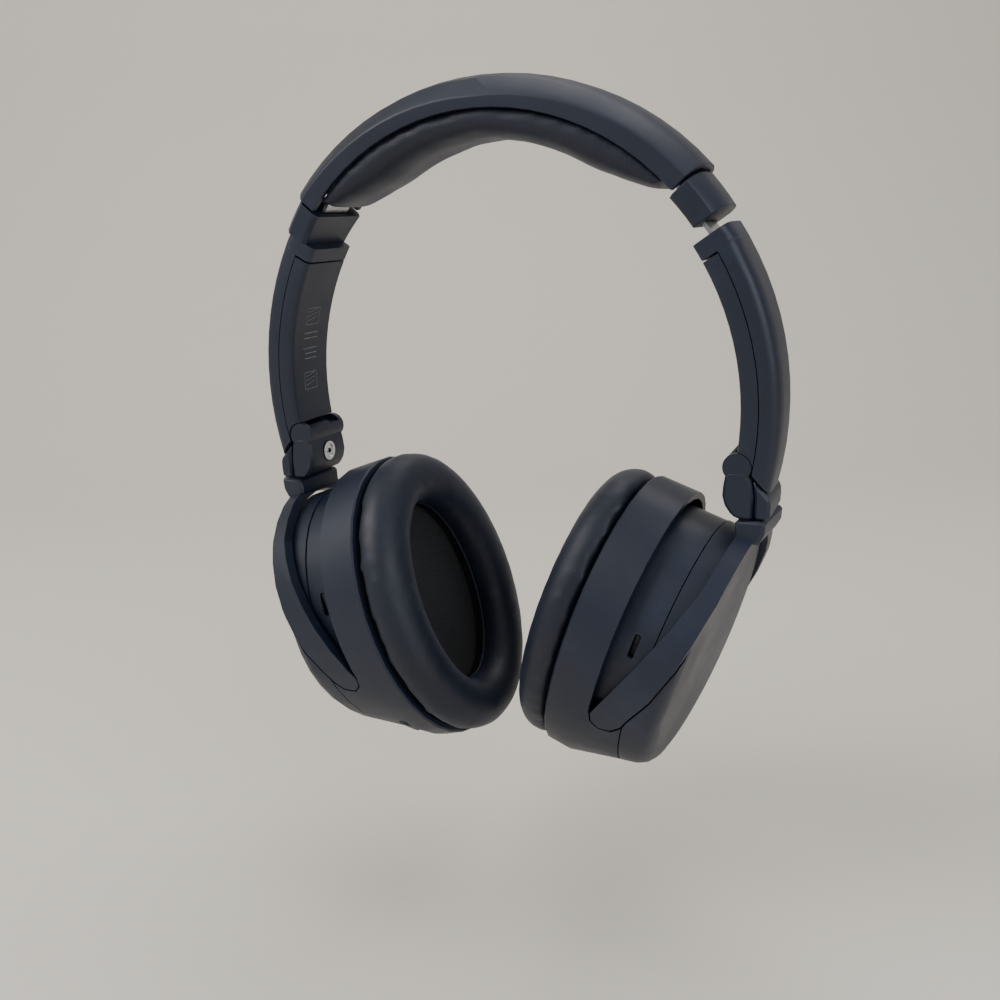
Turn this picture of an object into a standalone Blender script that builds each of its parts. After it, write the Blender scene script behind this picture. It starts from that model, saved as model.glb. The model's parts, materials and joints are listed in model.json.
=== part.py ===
"""Foldable over-ear headphones, built as an assembly of separate pieces.

Units inside the helpers are millimetres and are turned into metres when a mesh is made.
+X is the wearer's one side, +Y points to the back, +Z is up. The origin is the underside of
the headband cushion at the crown. Each side is drawn once as the +X side and mirrored.
"""
import math

import bmesh
import bpy
import numpy as np
from mathutils import Matrix, Vector

MM = 0.001
SIDES = (("left", -1), ("right", 1))

# Headband
BAND_RADIUS = 91.3
BAND_TOP = 18.5
BAND_HEIGHT = 10.6
BAND_HALF_WIDTH = 15.0
BAND_CROWN_EXTRA = 1.6
BAND_END = 42.0
PAD_GAP = 0.3
COLLAR_START = 33.6
COLLAR_END = 41.5

# Slider
STRIP_OFFSET = 10.4
STRIP_WIDTH = 14.0
STRIP_THICK = 1.2
STRIP_PLAY = 0.8
STRIP_GRIP = 3.0
SLIDER_TRAVEL = 30.0
RIGHT_EXTENSION = 4.0

# Arms
ARM_GROWTH = 8.7
ARM_SHIFT = (-11.0, -6.2)
ARM_THICK = 12.0
ARM_HALF_TOP = 12.0
ARM_HALF_BOTTOM = 11.2
ARM_TOP = 33.0
ARM_COVER_TOP = 29.4
ARM_BOTTOM_IN = -8.8
ARM_SEAM_FALL = 11.07
ARM_WALL = 2.0

# Hinges
CLEARANCE = 0.3
FOLD_PIN_RADIUS = 1.5
SHAFT_RADIUS = 2.2
PIVOT_RADIUS = 2.0
FORK_SET_BACK = 4.6
BARREL_ROOM = 3.5
SHROUD_RADIUS = 4.3

# Cups
CUP_HALF_HEIGHT = 51.5
CUP_HALF_WIDTH = 38.5
CUP_DEPTH = 37.0
CUP_TAPER = 12.0
TAPER_START = 8.0
BAND_LIP = 14.8
REAR_SPLIT = 26.4
PAD_THICK = 15.0
PAD_WALL = 18.5
BAND_WALL = 2.2
HOUSING_WALL = 2.1
YOKE_WALL = 3.6
YOKE_GAP = 0.95
HOUSING_GAP = 1.3
DRIVER_RADIUS = 19.6
YOKE_TOP = 38.0
CUP_TILT = 19.0
CUP_SWIVEL = -5.5
PIVOT_DEPTH = 21.0
PIVOT_DROP = 11.5
OVAL_STEPS = 36

# Buttons and sockets
BUTTON_WIDTH = 3.0
BUTTON_LENGTH = 11.0
BUTTON_GAP = 0.8
JACK_SIZE = (6.4, 6.4)
CHARGE_SIZE = (3.6, 9.2)
SOCKET_GAP = 0.7

BAND_CENTRE = BAND_TOP - BAND_RADIUS
ARM_RADIUS = BAND_RADIUS + ARM_GROWTH
ARM_CENTRE = (ARM_SHIFT[0], BAND_CENTRE + ARM_SHIFT[1])
HOUSING_INSET = YOKE_WALL + HOUSING_GAP
SLIDE_ANGLE = 36.0
STRIP_RADIUS = BAND_RADIUS - STRIP_OFFSET


def polar(radius, degrees, centre=(0.0, 0.0)):
    angle = math.radians(degrees)
    return (centre[0] + radius * math.cos(angle), centre[1] + radius * math.sin(angle))


SEAM_IN = polar(ARM_RADIUS - ARM_THICK, ARM_BOTTOM_IN, ARM_CENTRE)
SEAM_HEIGHT = polar(ARM_RADIUS - ARM_THICK, ARM_BOTTOM_IN)[1]
ARM_BOTTOM_OUT = math.degrees(math.asin((SEAM_HEIGHT - ARM_SEAM_FALL) / ARM_RADIUS))
FOLD_X = SEAM_IN[0] + 0.4
FOLD_Z = SEAM_IN[1] - 2.9
NECK_X = FOLD_X + 5.7
SLIDE_DIR = (math.sin(math.radians(SLIDE_ANGLE)), -math.cos(math.radians(SLIDE_ANGLE)))

for item in list(bpy.data.objects):
    bpy.data.objects.remove(item, do_unlink=True)


def new_collection(name):
    made = bpy.data.collections.new(name)
    bpy.context.scene.collection.children.link(made)
    return made


PARTS = new_collection("over_ear_headphones")
CUTTERS = new_collection("cutters")

LOOKS = {
    "plastic": ((0.020, 0.032, 0.075), 0.55, 0.0),
    "cushion": ((0.022, 0.035, 0.080), 0.62, 0.0),
    "mesh": ((0.010, 0.012, 0.020), 0.90, 0.0),
    "steel": ((0.42, 0.43, 0.46), 0.35, 1.0),
    "dark": ((0.018, 0.018, 0.022), 0.60, 0.0),
    "coated": ((0.020, 0.032, 0.075), 0.45, 0.6),
    "board": ((0.010, 0.070, 0.035), 0.50, 0.0),
    "film": ((0.35, 0.33, 0.28), 0.40, 0.0),
    "cell": ((0.30, 0.31, 0.34), 0.45, 0.0),
    "badge": ((0.62, 0.63, 0.66), 0.30, 1.0),
}


def paint(obj, look):
    colour, rough, metal = LOOKS[look]
    mat = bpy.data.materials.new(obj.name + "_look")
    mat.use_nodes = True
    shader = mat.node_tree.nodes["Principled BSDF"]
    shader.inputs["Base Color"].default_value = (*colour, 1.0)
    shader.inputs["Roughness"].default_value = rough
    shader.inputs["Metallic"].default_value = metal
    mat.diffuse_color = (*colour, 1.0)
    obj.data.materials.append(mat)


class Frame:
    """Turns drawing coordinates into world millimetres."""

    def __init__(self, matrix):
        self.matrix = matrix

    def at(self, point):
        return self.matrix @ Vector(point)

    def turned(self, direction):
        return (self.matrix.to_3x3() @ Vector(direction)).normalized()


def finish_mesh(name, bm, frame, origin, look, smooth):
    """Turns a drawn body into an object whose origin is its joint point."""
    bmesh.ops.transform(bm, matrix=frame.matrix, verts=bm.verts)
    bmesh.ops.transform(bm, matrix=Matrix.Translation(-Vector(origin)), verts=bm.verts)
    bmesh.ops.transform(bm, matrix=Matrix.Scale(MM, 4), verts=bm.verts)
    bmesh.ops.recalc_face_normals(bm, faces=bm.faces)
    if bm.calc_volume(signed=True) < 0.0:
        bmesh.ops.reverse_faces(bm, faces=bm.faces)
    mesh = bpy.data.meshes.new(name)
    bm.to_mesh(mesh)
    bm.free()
    obj = bpy.data.objects.new(name, mesh)
    obj.location = Vector(origin) * MM
    if look is None:
        CUTTERS.objects.link(obj)
        obj.hide_render = True
        obj.display_type = "WIRE"
    else:
        PARTS.objects.link(obj)
        paint(obj, look)
    for face in mesh.polygons:
        face.use_smooth = smooth
    if smooth and look is not None:
        mesh.set_sharp_from_angle(angle=math.radians(38.0))
    return obj


def loft(name, loops, frame, origin, look, ring=False, smooth=True):
    """Skins a run of loops that all have the same number of points."""
    bm = bmesh.new()
    rows = [[bm.verts.new(point) for point in loop] for loop in loops]
    count = len(rows[0])
    pairs = list(zip(rows[:-1], rows[1:]))
    if ring:
        pairs.append((rows[-1], rows[0]))
    for near, far in pairs:
        for i in range(count):
            j = (i + 1) % count
            bm.faces.new((near[i], near[j], far[j], far[i]))
    if not ring:
        bm.faces.new(list(reversed(rows[0])))
        bm.faces.new(rows[-1])
    return finish_mesh(name, bm, frame, origin, look, smooth)


def prism(name, outline, low, high, frame, origin, look, axis="y", smooth=False):
    """Extrudes an outline given in the plane square to the axis."""
    bm = bmesh.new()
    if axis == "y":
        corners = [bm.verts.new((a, low, b)) for a, b in outline]
        step = (0.0, high - low, 0.0)
    elif axis == "z":
        corners = [bm.verts.new((a, b, low)) for a, b in outline]
        step = (0.0, 0.0, high - low)
    else:
        corners = [bm.verts.new((low, a, b)) for a, b in outline]
        step = (high - low, 0.0, 0.0)
    face = bm.faces.new(corners)
    grown = bmesh.ops.extrude_face_region(bm, geom=[face])
    moved = [item for item in grown["geom"] if isinstance(item, bmesh.types.BMVert)]
    bmesh.ops.translate(bm, vec=step, verts=moved)
    return finish_mesh(name, bm, frame, origin, look, smooth)


def box(name, centre, size, frame, origin, look, turn=None):
    bm = bmesh.new()
    bmesh.ops.create_cube(bm, size=1.0)
    bmesh.ops.scale(bm, vec=size, verts=bm.verts)
    place = Matrix.Translation(Vector(centre))
    if turn is not None:
        place = place @ turn
    bmesh.ops.transform(bm, matrix=place, verts=bm.verts)
    return finish_mesh(name, bm, frame, origin, look, False)


def rounded(width, length, radius, centre, steps=3):
    """Outline of a rectangle with round corners."""
    points = []
    for turn, (sx, sy) in enumerate(((1, 1), (-1, 1), (-1, -1), (1, -1))):
        for k in range(steps + 1):
            angle = math.radians(90.0 * turn + 90.0 * k / steps)
            points.append((centre[0] + sx * (0.5 * width - radius) + radius * math.cos(angle),
                           centre[1] + sy * (0.5 * length - radius) + radius * math.sin(angle)))
    return points


def cylinder(name, start, end, radius, frame, origin, look, steps=20):
    bm = bmesh.new()
    axis = Vector(end) - Vector(start)
    bmesh.ops.create_cone(bm, cap_ends=True, segments=steps, radius1=radius,
                          radius2=radius, depth=axis.length)
    turn = Vector((0.0, 0.0, 1.0)).rotation_difference(axis).to_matrix().to_4x4()
    middle = (Vector(start) + Vector(end)) * 0.5
    bmesh.ops.transform(bm, matrix=Matrix.Translation(middle) @ turn, verts=bm.verts)
    return finish_mesh(name, bm, frame, origin, look, True)


def boolean(obj, cutter, kind="DIFFERENCE"):
    mod = obj.modifiers.new(kind.lower() + "_" + cutter.name, "BOOLEAN")
    mod.object = cutter
    mod.operation = kind
    mod.solver = "EXACT"


def soften(obj, width, segments=1, limit=40.0):
    mod = obj.modifiers.new("edge", "BEVEL")
    mod.width = width * MM
    mod.segments = segments
    mod.limit_method = "ANGLE"
    mod.angle_limit = math.radians(limit)
    mod.use_clamp_overlap = True


def arc_rows(section, starts, ends, steps, centre):
    """Sweeps (radius, y) points about a centre; each point has its own end angle."""
    rows = []
    for k in range(steps + 1):
        part = k / steps
        row = []
        for point in section(part):
            first = starts(point[0])
            last = ends(point[0])
            x, z = polar(point[0], first + (last - first) * part, centre)
            row.append((x, point[1], z))
        rows.append(row)
    return rows


WORLD = Frame(Matrix.Identity(4))
ORIGIN = (0.0, 0.0, 0.0)

# ---------------------------------------------------------------- headband


def band_half_width(degrees):
    return BAND_HALF_WIDTH + BAND_CROWN_EXTRA * math.cos(math.radians(degrees - 90.0) * 1.8)


def shell_section(part):
    degrees = BAND_END + (180.0 - 2.0 * BAND_END) * part
    half = band_half_width(degrees)
    top = BAND_RADIUS
    low = BAND_RADIUS - BAND_HEIGHT
    crease = low + float(np.interp(abs(2.0 * part - 1.0), (0.0, 1.0), (3.2, 5.4)))
    under = BAND_RADIUS - 2.0
    return [(top, half * 0.22), (top - 0.5, half * 0.48), (top - 1.9, half * 0.76),
            (crease + 1.0, half - 0.7), (crease, half), (low, half - 0.3), (low, half - 2.4),
            (under - 1.8, half * 0.70), (under, half * 0.42), (under, half * -0.42),
            (under - 1.8, half * -0.70), (low, 2.4 - half), (low, 0.3 - half), (crease, -half),
            (crease + 1.0, 0.7 - half), (top - 1.9, half * -0.76), (top - 0.5, half * -0.48),
            (top, half * -0.22)]


shell_rows = arc_rows(shell_section, lambda r: BAND_END, lambda r: 180.0 - BAND_END, 22,
                      (0.0, BAND_CENTRE))
loft("headband_shell", shell_rows, WORLD, ORIGIN, "plastic")

PAD_START = BAND_END + 1.6
PAD_SPAN = 90.0 - PAD_START
PAD_TOP = BAND_RADIUS - BAND_HEIGHT - PAD_GAP


def pad_height(part):
    away = abs(2.0 * part - 1.0)
    crown = PAD_TOP + BAND_CENTRE
    return float(np.interp(away, (0.0, 0.3, 0.62, 0.85, 1.0),
                           (crown, crown + 1.0, crown + 2.3, crown - 0.4, 3.0)))


def pad_section(part):
    half = band_half_width(PAD_START + 2.0 * PAD_SPAN * part) - 0.4
    tall = pad_height(part)
    top = PAD_TOP
    return [(top, half - 0.6), (top - 0.25 * tall, half), (top - 0.55 * tall, half - 0.5),
            (top - 0.82 * tall, half - 2.6), (top - tall, half * 0.5), (top - tall, -0.5 * half),
            (top - 0.82 * tall, 2.6 - half), (top - 0.55 * tall, 0.5 - half),
            (top - 0.25 * tall, -half), (top, 0.6 - half)]


pad_rows = arc_rows(pad_section, lambda r: PAD_START, lambda r: 180.0 - PAD_START, 22,
                    (0.0, BAND_CENTRE))
loft("headband_pad", pad_rows, WORLD, ORIGIN, "cushion")


def flat_band(name, inner, outer, half, first, steps, look):
    section = [(outer, half), (inner, half), (inner, -half), (outer, -half)]
    rows = arc_rows(lambda part: section, lambda r: first, lambda r: 180.0 - first, steps,
                    (0.0, BAND_CENTRE))
    return loft(name, rows, WORLD, ORIGIN, look, smooth=False)


flat_band("headband_spring", BAND_RADIUS - 3.0, BAND_RADIUS - 2.3, 5.6, BAND_END + 2.0, 22, "steel")
flat_band("pad_carrier", PAD_TOP + 0.5, PAD_TOP + 2.2, 11.6, 62.0, 14, "dark")

# ---------------------------------------------------------------- side frames

FOLD = (FOLD_X, FOLD_Z)
NECK = (FOLD_X + 5.4, FOLD_Z - 22.0)


def mirror(side):
    return Matrix.Diagonal((float(side), 1.0, 1.0, 1.0))


def slide_offset(side):
    push = RIGHT_EXTENSION if side > 0 else 0.0
    return Matrix.Translation((side * SLIDE_DIR[0] * push, 0.0, SLIDE_DIR[1] * push))


def swivel_turn(side):
    spin = Matrix.Rotation(math.radians(CUP_SWIVEL), 4, "Z")
    there = Matrix.Translation((side * NECK_X, 0.0, 0.0))
    back = Matrix.Translation((-side * NECK_X, 0.0, 0.0))
    return there @ spin @ back


def cup_matrix():
    """Drawing axes of a cup: x is depth away from the head, z is up the oval."""
    tilt = math.radians(CUP_TILT)
    out = Vector((math.cos(tilt), 0.0, -math.sin(tilt)))
    up = Vector((math.sin(tilt), 0.0, math.cos(tilt)))
    place = Vector((NECK[0], 0.0, NECK[1])) - out * YOKE_TOP - up * (CUP_HALF_HEIGHT - 1.5)
    turned = Matrix((out, Vector((0.0, 1.0, 0.0)), up)).transposed().to_4x4()
    return Matrix.Translation(place) @ turned


def strip_spot(along, across=0.0):
    foot = polar(STRIP_RADIUS, SLIDE_ANGLE, (0.0, BAND_CENTRE))
    out = polar(across, SLIDE_ANGLE)
    return (foot[0] + SLIDE_DIR[0] * along + out[0], foot[1] + SLIDE_DIR[1] * along + out[1])


def strip_box(name, first, last, width, thick, frame, origin, look):
    """A flat bar that lies along the slide direction."""
    x, z = strip_spot((first + last) * 0.5)
    turn = Matrix.Rotation(math.radians(-SLIDE_ANGLE), 4, "Y")
    return box(name, (x, 0.0, z), (thick, width, last - first), frame, origin, look, turn)


# ---------------------------------------------------------------- collars and arms


def collar_section(part):
    outer = BAND_RADIUS - 1.9
    inner = BAND_RADIUS - 12.6
    half = float(np.interp(part, (0.0, 1.0), (13.2, 14.6)))
    return [(outer, half * 0.3), (outer - 0.6, half * 0.6), (outer - 1.9, half * 0.84),
            (outer - 3.8, half), (inner + 1.4, half), (inner, half - 1.4), (inner, 1.4 - half),
            (inner + 1.4, -half), (outer - 3.8, -half), (outer - 1.9, half * -0.84),
            (outer - 0.6, half * -0.6), (outer, half * -0.3)]


def arm_end(radius):
    share = (radius - (ARM_RADIUS - ARM_THICK)) / ARM_THICK
    return ARM_BOTTOM_IN + (ARM_BOTTOM_OUT - ARM_BOTTOM_IN) * share


def arm_half(part):
    return ARM_HALF_TOP + (ARM_HALF_BOTTOM - ARM_HALF_TOP) * part


def arm_shell_section(part):
    half = arm_half(part)
    top = ARM_RADIUS
    low = ARM_RADIUS - 6.3
    roof = ARM_RADIUS - 2.6
    return [(top, half * 0.5), (top - 0.5, half - 2.0), (top - 1.8, half - 0.5),
            (top - 3.4, half), (low, half), (low, half - ARM_WALL), (roof, half - 2.6),
            (roof, 2.6 - half), (low, ARM_WALL - half), (low, -half), (top - 3.4, -half),
            (top - 1.8, 0.5 - half), (top - 0.5, 2.0 - half), (top, half * -0.5)]


def arm_cover_section(part):
    half = arm_half(part)
    top = ARM_RADIUS - 6.6
    low = ARM_RADIUS - ARM_THICK
    floor = low + ARM_WALL
    return [(top, half), (low + 1.6, half), (low + 0.4, half - 0.6), (low, half - 1.8),
            (low, 1.8 - half), (low + 0.4, 0.6 - half), (low + 1.6, -half), (top, -half),
            (top, ARM_WALL - half), (floor, 2.6 - half), (floor, half - 2.6),
            (top, half - ARM_WALL)]


def arm_head_section(part):
    half = ARM_HALF_TOP
    top = ARM_RADIUS
    low = ARM_RADIUS - ARM_THICK
    return [(top, half * 0.5), (top - 0.5, half - 2.0), (top - 1.8, half - 0.5),
            (top - 3.4, half), (low + 1.6, half), (low + 0.4, half - 0.6), (low, half - 1.8),
            (low, 1.8 - half), (low + 0.4, 0.6 - half), (low + 1.6, -half),
            (top - 3.4, -half), (top - 1.8, 0.5 - half), (top - 0.5, 2.0 - half),
            (top, half * -0.5)]


def around(points, base=FOLD):
    return [(base[0] + x, base[1] + z) for x, z in points]


def build_collar(label, side):
    frame = Frame(mirror(side))
    rows = arc_rows(collar_section, lambda r: COLLAR_START, lambda r: COLLAR_END, 3,
                    (0.0, BAND_CENTRE))
    collar = loft(label + "_collar", rows, frame, ORIGIN, "plastic")
    slot = strip_box(label + "_collar_slot", -16.0, 14.0, STRIP_WIDTH + STRIP_PLAY,
                     STRIP_THICK + STRIP_PLAY, frame, ORIGIN, None)
    boolean(collar, slot)


def build_arm(label, side, frame, origin):
    rows = arc_rows(arm_shell_section, lambda r: ARM_COVER_TOP + 0.9, arm_end, 12, ARM_CENTRE)
    shell = loft(label + "_arm_shell", rows, frame, origin, "plastic")
    rows = arc_rows(arm_head_section, lambda r: ARM_TOP, lambda r: ARM_COVER_TOP + 0.4, 2,
                    ARM_CENTRE)
    head = loft(label + "_arm_head", rows, frame, origin, None)
    boolean(shell, head, "UNION")
    slot = strip_box(label + "_arm_slot", 0.0, 19.0, STRIP_WIDTH + STRIP_PLAY,
                     STRIP_THICK + STRIP_PLAY, frame, origin, None)
    boolean(shell, slot)
    rows = arc_rows(arm_cover_section, lambda r: ARM_COVER_TOP, arm_end, 12, ARM_CENTRE)
    cover = loft(label + "_arm_cover", rows, frame, origin, "plastic")
    strip_box(label + "_slider_strip", -SLIDER_TRAVEL - STRIP_GRIP, 16.5, STRIP_WIDTH, STRIP_THICK,
              frame, origin, "steel")
    clear = cylinder(label + "_fold_clearance", (FOLD_X, -14.0, FOLD_Z), (FOLD_X, 14.0, FOLD_Z),
                     SHROUD_RADIUS + CLEARANCE, frame, origin, None, 32)
    corner = prism(label + "_cover_corner",
                   around([(-1.0, 0.4), (6.2, 0.4), (6.2, -4.0), (-1.0, -4.0)]), -14.0, 14.0, frame,
                   origin, None)
    boolean(cover, clear)
    boolean(cover, corner)
    boolean(shell, clear)
    back = ARM_THICK - FORK_SET_BACK
    plate = around([(-2.9, -0.6), (-2.4, 1.9), (1.7, 2.2), (4.2, 4.7), (4.2, 12.5), (back, 12.5),
                    (back - 0.2, 3.6), (2.9, -1.4), (1.0, -2.8), (-1.4, -2.6)])
    fork = prism(label + "_hinge_fork", plate, -8.4, 8.4, frame, origin, "coated")
    mouth = around([(-6.0, -6.0), (-6.0, 4.6), (3.0, 8.2), (9.0, 8.2), (9.0, -6.0)])
    gap = prism(label + "_fork_gap", mouth, -6.0, 6.0, frame, origin, None)
    boolean(fork, gap)
    hole = cylinder(label + "_fork_hole", (FOLD_X, -12.0, FOLD_Z), (FOLD_X, 12.0, FOLD_Z),
                    FOLD_PIN_RADIUS + CLEARANCE,
                    frame, origin, None, 16)
    boolean(fork, hole)
    cylinder(label + "_fold_pin", (FOLD_X, -8.8, FOLD_Z), (FOLD_X, 8.8, FOLD_Z),
             FOLD_PIN_RADIUS, frame, origin, "steel", 16)


# ---------------------------------------------------------------- knuckle


def build_knuckle(label, side, frame, origin):
    body = around([(-2.7, -0.4), (-1.9, 1.9), (0.0, 2.7), (1.9, 1.9), (2.9, -1.2), (7.6, -6.8),
                   (7.6, -12.4), (1.9, -12.4), (1.9, -6.0), (-1.4, -2.4)])
    block = prism(label + "_hinge_block", body, -5.7, 5.7, frame, origin, "coated")
    hole = cylinder(label + "_block_hole", (FOLD_X, -12.0, FOLD_Z), (FOLD_X, 12.0, FOLD_Z),
                    FOLD_PIN_RADIUS + CLEARANCE,
                    frame, origin, None, 16)
    boolean(block, hole)
    socket = cylinder(label + "_shaft_socket", (NECK_X, 0.0, FOLD_Z - 8.4),
                      (NECK_X, 0.0, FOLD_Z - 15.0), SHAFT_RADIUS + CLEARANCE, frame, origin, None, 20)
    boolean(block, socket)
    cylinder(label + "_swivel_shaft", (NECK_X, 0.0, FOLD_Z - 8.8),
             (NECK_X, 0.0, FOLD_Z - 20.4), SHAFT_RADIUS, frame, origin, "steel", 20)

    room = around([(-3.1, 0.6), (-3.1, -1.0), (-1.8, -2.7), (1.5, -6.2), (1.5, -12.8),
                   (8.0, -12.8), (8.0, -6.4), (3.0, 0.6)])
    void = prism(label + "_knuckle_room", room, -6.1, 6.1, frame, origin, None)
    ears = cylinder(label + "_knuckle_ears", (FOLD_X, -8.9, FOLD_Z), (FOLD_X, 8.9, FOLD_Z),
                    BARREL_ROOM, frame, origin, None)
    swept = around([(0.0, 0.0), (8.0, -4.2), (8.0, 8.0), (-7.0, 8.0), (-7.0, 4.0)])
    fork_path = prism(label + "_fork_path", swept, -8.85, 8.85, frame, origin, None)
    shank = cylinder(label + "_shank_room", (NECK_X, 0.0, FOLD_Z - 11.0),
                     (NECK_X, 0.0, FOLD_Z - 21.0), SHAFT_RADIUS + CLEARANCE, frame, origin, None, 20)
    inner = around([(-3.2, -1.4), (-4.0, -5.6), (-4.3, -9.0), (-3.5, -12.0), (-1.9, -14.4),
                    (0.0, -16.0), (4.9, -16.0), (5.1, -9.0), (4.3, -3.2), (2.6, -1.6),
                    (1.6, -1.1)])
    cover = prism(label + "_hinge_cover", inner, -11.0, 11.0, frame, origin, "plastic")
    soften(cover, 0.9, 1)
    shroud = cylinder(label + "_shroud", (FOLD_X, -10.9, FOLD_Z), (FOLD_X, 10.9, FOLD_Z),
                      SHROUD_RADIUS, frame, origin, None, 32)
    boolean(cover, shroud, "UNION")
    boolean(cover, fork_path)
    boolean(cover, void)
    boolean(cover, ears)
    boolean(cover, shank)
    outer = around([(4.75, -3.6), (5.45, -9.0), (5.25, -16.0), (9.9, -16.0), (10.1, -12.0),
                    (10.0, -10.2), (9.5, -8.85)])
    shell = prism(label + "_knuckle_shell", outer, -11.0, 11.0, frame, origin, "plastic")
    soften(shell, 0.9, 1)
    boolean(shell, void)
    boolean(shell, ears)
    boolean(shell, shank)

    seat = cylinder(label + "_badge_seat", (FOLD_X - 6.0, 0.0, FOLD_Z - 7.6),
                    (FOLD_X - 3.4, 0.0, FOLD_Z - 7.6), 3.9, frame, origin, None)
    boolean(cover, seat)
    profile = [(-3.75, 0.9), (-3.75, 3.5), (-4.45, 3.5), (-4.45, 2.5), (-4.05, 2.3),
               (-4.05, 1.0), (-4.45, 0.9)]
    rows = []
    for depth, radius in profile:
        ring = []
        for k in range(24):
            angle = 2.0 * math.pi * k / 24
            ring.append((FOLD_X + depth, radius * math.cos(angle),
                         FOLD_Z - 7.6 + radius * math.sin(angle)))
        rows.append(ring)
    loft(label + "_side_badge", rows, frame, origin, "badge", ring=True)


# ---------------------------------------------------------------- yoke


def yoke_outline(grow=0.0, reach=14.0):
    """Outline of the slanted yoke ring seen from the front, in depth and height."""
    top = CUP_HALF_HEIGHT + reach
    back = YOKE_TOP - 38.0
    return [(34.8 + back - grow, top), (33.0 + back - grow, 35.0), (29.6 + back - grow, 22.0),
            (24.9 - grow, 8.5), (16.8 - grow, -12.5), (15.5 - grow, -16.0),
            (16.4 - grow, -18.9 - 0.4 * grow), (19.2, -20.4 - grow),
            (23.2 + 0.5 * grow, -19.0 - grow), (26.0 + grow, -15.6 - 0.3 * grow),
            (27.2 + grow, -12.0), (32.0 + grow, -1.3), (35.6 + grow, 11.0),
            (37.6 + back + grow, 22.0), (38.9 + back + grow, 34.0), (39.4 + back + grow, top)]


def taper(depth):
    share = (depth - TAPER_START) / (CUP_DEPTH - TAPER_START)
    return CUP_TAPER * min(max(share, 0.0), 1.0)


def oval_point(depth, inset, angle):
    """A point of the cup's outline, which loses height at the bottom as it gets deeper."""
    tall = CUP_HALF_HEIGHT - inset
    if math.sin(angle) < 0.0:
        tall = tall - taper(depth)
    return (depth, (CUP_HALF_WIDTH - inset) * math.cos(angle), tall * math.sin(angle))


def oval(depth, inset, steps=OVAL_STEPS):
    return [oval_point(depth, inset, 2.0 * math.pi * (k + 0.5) / steps) for k in range(steps)]


def ring_body(name, profile, frame, origin, look, smooth=True, steps=OVAL_STEPS):
    """A closed oval ring; the profile is (depth, inset) points in order round it."""
    rows = [oval(depth, inset, steps) for depth, inset in profile]
    return loft(name, rows, frame, origin, look, ring=True, smooth=smooth)


def disc_body(name, profile, frame, origin, look, smooth=True):
    rows = [oval(depth, inset) for depth, inset in profile]
    return loft(name, rows, frame, origin, look, smooth=smooth)


def round_body(name, profile, centre, frame, origin, look, steps=20):
    rows = []
    for depth, radius in profile:
        rows.append([(depth, centre[0] + radius * math.cos(2.0 * math.pi * k / steps),
                      centre[1] + radius * math.sin(2.0 * math.pi * k / steps))
                     for k in range(steps)])
    return loft(name, rows, frame, origin, look)


def pivot_y():
    return CUP_HALF_WIDTH * math.sqrt(1.0 - (PIVOT_DROP / CUP_HALF_HEIGHT) ** 2)


def build_yoke(label, side, frame, cup, origin):
    tube = [(TAPER_START, 0.0), (CUP_DEPTH, 0.0), (54.0, 0.0), (54.0, YOKE_WALL),
            (CUP_DEPTH, YOKE_WALL), (TAPER_START, YOKE_WALL)]
    yoke = ring_body(label + "_yoke", tube, cup, origin, "plastic")
    slab = prism(label + "_yoke_slab", yoke_outline(), -70.0, 70.0, cup, origin, None)
    boolean(yoke, slab, "INTERSECT")
    soften(yoke, 0.7, 1, 50.0)
    stem = around([(0.6, -16.4), (9.8, -16.4), (9.5, -20.6), (7.8, -23.6), (6.4, -24.3),
                   (1.2, -22.9), (0.4, -21.6)])
    neck = prism(label + "_yoke_neck", stem, -10.9, 10.9, frame, origin, None)
    soften(neck, 0.9, 1)
    boolean(yoke, neck, "UNION")
    bore = cylinder(label + "_yoke_bore", (NECK_X, 0.0, FOLD_Z - 14.0),
                    (NECK_X, 0.0, FOLD_Z - 20.8), SHAFT_RADIUS + CLEARANCE, frame, origin, None, 20)
    boolean(yoke, bore)
    reach = pivot_y() - 1.4
    for word, way in (("front", -1.0), ("rear", 1.0)):
        hole = cylinder(label + "_yoke_hole_" + word, (PIVOT_DEPTH, way * 26.0, -PIVOT_DROP),
                        (PIVOT_DEPTH, way * reach, -PIVOT_DROP), PIVOT_RADIUS + CLEARANCE, cup,
                        origin, None, 20)
        boolean(yoke, hole)


# ---------------------------------------------------------------- cup


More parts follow.
